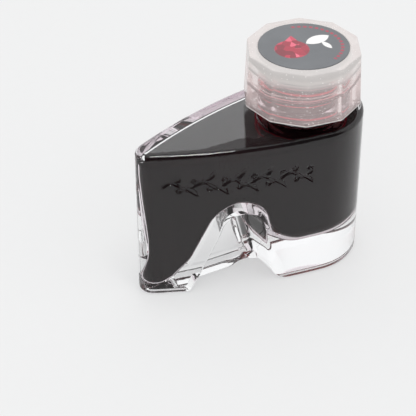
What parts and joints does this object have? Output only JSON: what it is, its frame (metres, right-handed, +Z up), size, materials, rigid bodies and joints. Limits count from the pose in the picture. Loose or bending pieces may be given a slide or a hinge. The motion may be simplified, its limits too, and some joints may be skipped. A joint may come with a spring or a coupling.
{
  "type": "ink bottle",
  "caption": "Shoe-shaped clear glass pen-ink bottle with an arched instep, dark red ink and a ten-sided translucent screw cap with a liner and round top label.",
  "frame": {"origin": "on the neck and cap axis, on the plane the bottle stands on", "axes": "+X out of the heel, -X out of the toe, +Y to the bottle's side, +Z up along the neck axis"},
  "size_m": [0.0711, 0.0348, 0.0677],
  "materials": {
    "clear_glass": "polished",
    "red_ink": "liquid",
    "cap_plastic": "translucent satin",
    "liner_foam": "matte foam",
    "label_film": "satin print"
  },
  "bodies": {
    "bottle": {"glass_bottle": "clear_glass", "ink": "red_ink"},
    "liner": {"cap_liner": "liner_foam"},
    "cap": {"cap": "cap_plastic", "cap_label": "label_film"}
  },
  "joints": [
    {"name": "cap_lift", "type": "slide", "parent": "bottle", "child": "liner", "axis": [0, 0, 1], "range_m": [0, 0.0128]},
    {"name": "cap_turn", "type": "hinge", "parent": "liner", "child": "cap", "pos_m": [0, 0, 0.0575], "axis": [0, 0, 1], "range_deg": [0, 1440]}
  ],
  "couplings": [
    {"joint": "cap_lift", "follows": "cap_turn", "m_per_rad": 0.0005093}
  ]
}
